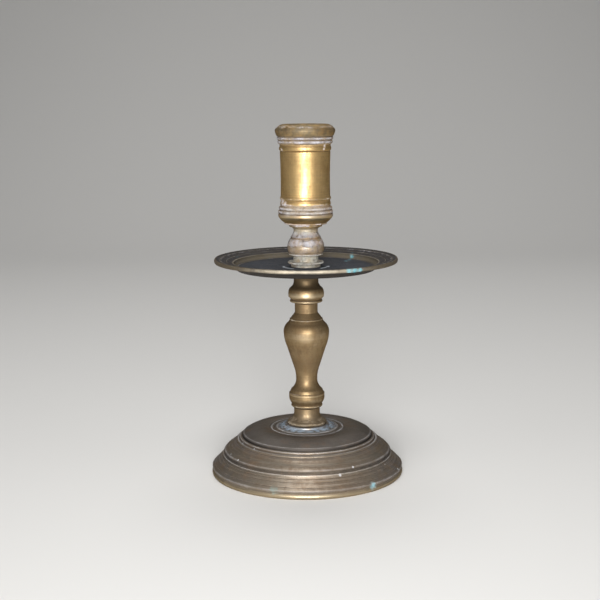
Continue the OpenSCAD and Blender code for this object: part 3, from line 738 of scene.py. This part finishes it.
def pan_brass(finish, at):
    """Dull blue-grey brass, with painted light that makes the slope of the well lighter and browner, a
    rim bright from wear and painted highlight, and painted shade on the rim away from the front and on
    the underside.
    """
    made = Recipe("drip_pan_brass")
    look = {
        "body": (0.052, 0.046, 0.040), "second": (0.036, 0.036, 0.040),
        "skin": (0.022, 0.021, 0.023), "bright": (0.74, 0.65, 0.50), "stain": (0.20, 0.21, 0.22),
        "residue": finish.pale_residue, "brown": (0.08, 0.06, 0.04), "streaks": 0.4,
        "tarnish": 0.6, "tool": 0.5, "metal": 0.45, "gloss": 0.64,
        # Bright rings: wear on the edges, and painted highlight on the rim
        "wear_and_sheen": [(66.8, 0.9, 0.9), (62.4, 0.6, 0.45), (57.6, 0.6, 0.35), (53.0, 0.7, 0.5)],
        "grime_and_shade": [(64.2, 0.8, 0.6), (30, 18, 0.3)],
        "dried": [(15.0, 1.2, 0.5), (49.8, 0.8, 0.5), (61.6, 0.7, 0.6), (33, 16, 0.3)],
    }
    colour, metallic, roughness, normal = aged_brass(made, made.radius, finish, look)
    floor = 1 - made.radius.rise(46 * MM, 50.5 * MM)
    colour = made.mix(floor * made.z.rise(0.153, 0.1532) * 0.6, colour, (0.040, 0.049, 0.064, 1))
    # Painted light: the slope of the well is lighter and browner, as if it faced the lamp
    slope = made.radius.around(51.6 * MM, 2.4 * MM)
    colour = made.mix(slope * 0.7, colour, (0.155, 0.13, 0.09, 1))
    # Painted shade: the rim is darkened everywhere but at the front
    away = 1 - made.y.rise(-47 * MM, -66 * MM)
    rim_painted_shade = made.radius.rise(65 * MM, 65.6 * MM) * away
    colour = made.mix(rim_painted_shade * 0.85, colour, (0.10, 0.078, 0.05, 1))
    film = made.grain(210, 6.0, 0.7).rise(0.5, 0.68)
    colour = made.mix(film * 0.35, colour, (0.10, 0.10, 0.115, 1))
    arc = patches_at(made, (
        (-12, -11, 153.4, 6), (-16, -3.5, 153.4, 4), (13, -10.5, 153.4, 5), (16.4, -2.5, 153.4, 3.5)))
    arc = (arc * 2).within() * made.radius.around(16.3 * MM, 2.2 * MM)
    arc = (arc + (made.grain(420, 4.0) - 0.5) * 1.2).rise(0.3, 0.75)
    colour = made.mix(arc * 0.8, colour, (0.40, 0.44, 0.48, 1))
    green = patches_at(made, (
        (29, -59.8, 158.2, 3.6), (32.8, -58, 158.2, 3.8), (36.6, -55.2, 158, 2.6),
        (31, -55, 157.3, 3.6), (36, 43, 156, 2.6), (34.4, 38, 155.3, 3.4), (32.5, 32, 153.6, 2.8),
        (30, 26, 153.4, 2.2)))
    green = (green * 1.25 + (made.grain(220, 6.0, 0.7) - 0.5) * 2.4).rise(0.3, 1.1)
    shade = made.mix(made.grain(380, 4.0).rise(0.4, 0.6), rgb(finish.verdigris), (0.25, 0.48, 0.54, 1))
    colour = made.mix(green * 0.85, colour, shade)
    # Painted shade: below a surface half way through the pan's thickness, the underside goes nearly
    # black
    border_rise = made.radius.rise(50.3 * MM, 52.8 * MM) * 3.3
    border_rise = border_rise + made.radius.rise(52.8 * MM, 64.8 * MM) * 2.55
    middle = (border_rise + at["plate"] + 0.9) * MM
    under = 1 - (made.z - middle).rise(-0.4 * MM, 0.4 * MM)
    under = under * (1 - made.radius.rise(65 * MM, 66 * MM))
    colour = made.mix(under * 0.85, colour, (0.012, 0.011, 0.012, 1))
    metallic = metallic - green * 0.45 - slope * 0.1 - arc * 0.4 - under * 0.3
    return made.surface(colour, metallic, roughness + green * 0.3, normal)


def socket_brass(finish, at):
    """Brightest brass, with dried polish on the beads and all over the knop and the foot."""
    made = Recipe("socket_brass")
    look = {
        "body": finish.bright_brass, "second": (0.49, 0.355, 0.165), "skin": (0.14, 0.09, 0.05),
        "bright": (0.82, 0.68, 0.45), "stain": (0.26, 0.22, 0.20),
        "residue": finish.pale_residue, "brown": (0.36, 0.21, 0.09), "streaks": 0.4,
        "tarnish": 0.4, "tool": 0.2, "metal": 0.93, "gloss": 0.44,
        # Bright rings: wear, and painted highlight on the bowl below the beads
        "wear_and_sheen": [
            (at["knop"] + 4.5, 3.0, 0.3), (at["cup_bowl"] + 4.2, 2.4, 1.0),
            (at["ridge"] + 1.2, 1.2, 0.6), (at["wall"] + 16, 16, 0.15), (at["rim"] + 3, 3, 0.1)],
        "grime_and_shade": [
            (at["bead_b"], 0.6, 1.2), (at["bead_a"], 0.6, 1.2), (at["soft_bead"], 0.7, 1.2),
            (at["ridge_gap"] + 0.4, 0.6, 0.7), (at["wall"] + 0.1, 0.4, 0.5),
            (at["rim_quirk"] - 0.9, 0.9, 0.8), (at["rim_quirk"] - 4.8, 0.5, 0.9),
            (at["upper_rim_bead"], 0.6, 1.2), (at["rim"], 0.6, 1.2), (at["cup_cove"] + 0.4, 0.8, 1.4),
            (at["cup_bowl"] + 0.3, 1.2, 0.7), (at["knop"], 0.5, 1.2), (at["rim"] + 4.6, 6.5, 0.5),
            (at["knop"] + 2.2, 2.8, 0.5)],
        "dried": [
            (at["short_neck"] - 0.6, 1.4, 1.5), (at["foot"] + 1.0, 2.4, 0.6),
            (at["short_neck"] + 2.5, 3.0, 0.9), (at["knop"] - 0.8, 1.4, 1.3),
            (at["cup_cove"] - 2.6, 4.0, 1.8), (at["cup_cove"] + 2.6, 3.2, 2.3),
            (at["cup_fillet"] + 1.2, 1.3, 1.0), (at["cup_step"] + 0.5, 0.9, 1.4),
            (at["bead_b"] + 1.3, 1.7, 1.5), (at["bead_a"] + 1.3, 1.6, 1.5),
            (at["soft_bead"] + 1.6, 2.0, 0.75), (at["ridge"] + 1.2, 1.4, 0.5),
            (at["lower_rim_bead"] + 1.3, 1.6, 1.35), (at["upper_rim_bead"] + 1.3, 1.5, 1.35),
            (at["mouth"] + 0.5, 2.0, 0.85)],
    }
    colour, metallic, roughness, normal = aged_brass(made, made.z, finish, look)
    dark_lines = bands_along(made.z, look["grime_and_shade"]).within()
    film = bands_along(made.z, (
        (at["knop"], 19, 4.0), (at["bead_a"], 4.6, 2.2), (at["upper_rim_bead"], 3.6, 2.2))).within()
    film = film * (0.68 + (made.grain(260, 5.0) - 0.5) * 2.0).within()
    colour = made.mix(film * 0.9 * (1 - dark_lines * 0.8), colour, (0.278, 0.272, 0.288, 1))
    metallic = metallic - film * 0.6
    chalk = 1 - made.z.rise((at["knop"] - 0.8) * MM, (at["knop"] + 0.6) * MM)
    chalk = chalk.larger((made.z.around((at["cup_neck"] + 1.2) * MM, 3.4 * MM) * 1.6).within() * 0.75)
    chalk = chalk * (0.5 + (made.grain(340, 5.0, 0.65) - 0.42) * 3.4).within()
    colour = made.mix(chalk * 0.8, colour, (0.44, 0.445, 0.385, 1))
    front = made.y.rise(-8 * MM, -16 * MM)
    crust = (bands_along(made.z, ((at["bead_a"] + 0.4, 5.0, 2.0),)).within() * front)
    crust = crust * (0.5 + (made.grain(300, 5.0, 0.65) - 0.45) * 3.0).within()
    colour = made.mix(crust * 0.65, colour, (0.46, 0.42, 0.365, 1))
    metallic = metallic - chalk * 0.45 - crust * 0.3
    smudge = film * made.grain(330, 5.0, 0.65).rise(0.49, 0.63) * 0.75
    colour = made.mix(smudge, colour, (0.12, 0.09, 0.07, 1))
    rim = made.z.rise((at["rim"] - 0.5) * MM, (at["rim"] + 0.5) * MM)
    rim = rim * (0.6 + (made.grain(240, 5.0) - 0.5) * 1.8).within()
    colour = made.mix(rim * 0.88, colour, (0.105, 0.099, 0.078, 1))
    mottle = (made.grain(95, 5.0, 0.6) * 0.7 + made.grain(300, 4.0, 0.6) * 0.3).rise(0.5, 0.68)
    colour = made.mix(mottle * 0.5, colour, (0.30, 0.17, 0.065, 1))
    inside = (1 - made.radius.rise(12.4 * MM, 13.4 * MM)) * made.z.rise(0.198, 0.2)
    marks = patches_at(made, (
        (-16.8, -8.2, 238.1, 2.6), (13.6, -12.2, 240.6, 2.4), (13.2, -13.0, 238.4, 1.8),
        (-16.6, -7.6, 201, 4.6), (-14.6, -10.8, 199.4, 3.6), (-17.4, -3, 202, 4)))
    marks = (marks * 1.2 + (made.grain(420, 4.0) - 0.5) * 1.2).rise(0.36, 1.15)
    colour = made.mix(marks * 0.85, colour, rgb(finish.pale_residue))
    colour = made.mix(inside * 0.85, colour, (0.02, 0.016, 0.012, 1))
    metallic = metallic - inside * 0.6 - marks * 0.8
    return made.surface(colour, metallic, roughness + inside * 0.3 + marks * 0.3, normal)


class PieceOperator:
    bl_options = {"REGISTER", "UNDO"}

    def sizes(self, context):
        size = context.scene.candlestick_sizes
        return size, size.base_height / MM


class CANDLESTICK_OT_base(PieceOperator, bpy.types.Operator):
    """Hollow turned base with two tiers, a domed top and a tapped boss"""

    bl_idname = "candlestick.add_base"
    bl_label = "Base"

    def execute(self, context):
        size, base_h = self.sizes(context)
        finish = context.scene.candlestick_finish
        mesh = spin_piece("base_turned", base_outline(size.base_diameter / MM / 2, base_h), size.turns)
        hand_work(mesh, 0.00018, flat_to=0.017)
        finish_piece(mesh, "base", base_brass(finish))
        return {"FINISHED"}


class CANDLESTICK_OT_stem(PieceOperator, bpy.types.Operator):
    """Turned baluster with a screw below and a tapped hole above"""

    bl_idname = "candlestick.add_stem"
    bl_label = "Stem"

    def execute(self, context):
        size, base_h = self.sizes(context)
        finish = context.scene.candlestick_finish
        at = stem_heights(base_h)
        mesh = spin_piece("stem_turned", stem_outline(base_h), size.turns)
        hand_work(mesh, 0.00015, flat_to=0.0062)
        finish_piece(mesh, "stem", stem_brass(finish, at))
        return {"FINISHED"}


class CANDLESTICK_OT_drip_pan(PieceOperator, bpy.types.Operator):
    """Wide dish with a turned rim"""

    bl_idname = "candlestick.add_drip_pan"
    bl_label = "Drip pan"

    def execute(self, context):
        size, base_h = self.sizes(context)
        finish = context.scene.candlestick_finish
        at = pan_heights(base_h)
        mesh = spin_piece(
            "drip_pan_turned", pan_outline(base_h, size.pan_diameter / MM / 2), size.turns)
        hand_work(mesh, 0.0002, droop=0.0002, flat_to=0.02)
        finish_piece(mesh, "drip_pan", pan_brass(finish, at))
        return {"FINISHED"}


class CANDLESTICK_OT_socket(PieceOperator, bpy.types.Operator):
    """Candle cup with its beads, knop and foot, and the screw through the pan"""

    bl_idname = "candlestick.add_socket"
    bl_label = "Socket"

    def execute(self, context):
        size, base_h = self.sizes(context)
        finish = context.scene.candlestick_finish
        at = socket_heights(base_h)
        mesh = spin_piece("socket_turned", socket_outline(
            base_h, size.rim_diameter / MM / 2, size.candle_diameter / MM / 2), size.turns)
        hand_work(mesh, 0.00014, flat_to=0.0128)
        finish_piece(mesh, "socket", socket_brass(finish, at))
        return {"FINISHED"}


# Stage: pale floor and backdrop, soft lamps and the photograph's view

VIEW_FOCUS = 1241 / 600 * 36
VIEW_PLACE = (-0.0045, -0.893, 0.279)
VIEW_PITCH = math.radians(90 - 9.57)
VIEW_ROLL = math.radians(-0.45)


class CANDLESTICK_OT_stage(bpy.types.Operator):
    """Pale floor and backdrop, soft lamps and the camera"""

    bl_idname = "candlestick.add_stage"
    bl_label = "Stage"

    def execute(self, context):
        scene = context.scene
        self.add_floor(scene)
        self.add_lamp(scene, "key_lamp", (-0.03, -1.2, 0.27), 0.46, 3.8, 80)
        self.add_lamp(scene, "front_lamp", (-0.15, -1.5, 0.65), 1.1, 3.0, 100)
        self.add_lamp(scene, "upper_lamp", (-0.05, -0.6, 1.5), 0.7, 9.0)
        self.add_lamp(scene, "left_lamp", (-1.5, -0.9, 1.1), 1.2, 2.5)
        self.add_lamp(scene, "right_lamp", (1.5, -0.7, 1.2), 1.2, 1.5)
        self.add_lamp(scene, "back_lamp", (0.0, 0.9, 2.0), 1.6, 14.0)
        world = bpy.data.worlds.new("studio")
        world.use_nodes = True
        world.node_tree.nodes["Background"].inputs["Color"].default_value = (0.11, 0.11, 0.11, 1)
        scene.world = world
        scene.view_settings.view_transform = "Standard"
        camera = bpy.data.objects.new("camera", bpy.data.cameras.new("camera"))
        scene.collection.objects.link(camera)
        camera.data.lens = VIEW_FOCUS
        camera.data.sensor_width = 36
        turn = Euler((VIEW_PITCH, 0, 0)).to_matrix() @ Matrix.Rotation(VIEW_ROLL, 3, "Z")
        camera.matrix_world = Matrix.Translation(VIEW_PLACE) @ turn.to_4x4()
        scene.camera = camera
        return {"FINISHED"}

    def add_floor(self, scene):
        """A roll of pale paper that lies on the floor and rises behind the object."""
        paper_roll = bmesh.new()
        edge = [(-2.2, -1.4, 0), (-2.2, 2.6, 0), (-2.2, 2.6, 2.8)]
        edge = [paper_roll.verts.new(p) for p in edge]
        for a, b in zip(edge, edge[1:]):
            paper_roll.edges.new((a, b))
        bmesh.ops.bevel(
            paper_roll, geom=[edge[1]], offset=1.4, offset_type="OFFSET", segments=24,
            profile=0.5, affect="VERTICES", material=-1)
        sheet = bmesh.ops.extrude_edge_only(paper_roll, edges=paper_roll.edges[:])["geom"]
        far_side = [v for v in sheet if isinstance(v, bmesh.types.BMVert)]
        bmesh.ops.translate(paper_roll, verts=far_side, vec=(4.4, 0, 0))
        bmesh.ops.recalc_face_normals(paper_roll, faces=paper_roll.faces)
        if min(paper_roll.faces, key=lambda f: f.calc_center_median().z).normal.z < 0:
            bmesh.ops.reverse_faces(paper_roll, faces=paper_roll.faces)
        mesh = bpy.data.meshes.new("floor")
        paper_roll.to_mesh(mesh)
        paper_roll.free()
        mesh.polygons.foreach_set("use_smooth", [True] * len(mesh.polygons))
        floor = bpy.data.objects.new("floor", mesh)
        scene.collection.objects.link(floor)
        paper = bpy.data.materials.new("paper")
        paper.use_nodes = True
        plain = paper.node_tree.nodes["Principled BSDF"]
        plain.inputs["Base Color"].default_value = (0.68, 0.67, 0.65, 1)
        plain.inputs["Roughness"].default_value = 0.9
        mesh.materials.append(paper)

    def add_lamp(self, scene, name, place, width, power, spread=180):
        lamp = bpy.data.objects.new(name, bpy.data.lights.new(name, "AREA"))
        lamp.data.shape = "DISK"
        lamp.data.size = width
        lamp.data.energy = power
        lamp.data.spread = math.radians(spread)
        scene.collection.objects.link(lamp)
        toward = Vector((0, 0, 0.13)) - Vector(place)
        turn = toward.to_track_quat("-Z", "Y").to_matrix().to_4x4()
        lamp.matrix_world = Matrix.Translation(place) @ turn


class CANDLESTICK_PT_panel(bpy.types.Panel):
    """Sizes, finishes and pieces of the candlestick"""

    bl_idname = "CANDLESTICK_PT_panel"
    bl_label = "Candlestick"
    bl_space_type = "VIEW_3D"
    bl_region_type = "UI"
    bl_category = "Candlestick"

    def draw(self, context):
        for group in (context.scene.candlestick_sizes, context.scene.candlestick_finish):
            box = self.layout.box()
            for name in group.__annotations__:
                box.prop(group, name)
        for operator in OPERATORS:
            self.layout.operator(operator.bl_idname)


OPERATORS = (
    CANDLESTICK_OT_base,
    CANDLESTICK_OT_stem,
    CANDLESTICK_OT_drip_pan,
    CANDLESTICK_OT_socket,
    CANDLESTICK_OT_stage,
)
CLASSES = (CandlestickSizes, CandlestickFinish, *OPERATORS, CANDLESTICK_PT_panel)


def register():
    for cls in CLASSES:
        bpy.utils.register_class(cls)
    bpy.types.Scene.candlestick_sizes = PointerProperty(type=CandlestickSizes)
    bpy.types.Scene.candlestick_finish = PointerProperty(type=CandlestickFinish)


def unregister():
    del bpy.types.Scene.candlestick_finish
    del bpy.types.Scene.candlestick_sizes
    for cls in reversed(CLASSES):
        bpy.utils.unregister_class(cls)


def main():
    register()
    bpy.ops.candlestick.add_stage()
    bpy.ops.candlestick.add_base()
    bpy.ops.candlestick.add_stem()
    bpy.ops.candlestick.add_drip_pan()
    bpy.ops.candlestick.add_socket()


if __name__ == "__main__":
    main()
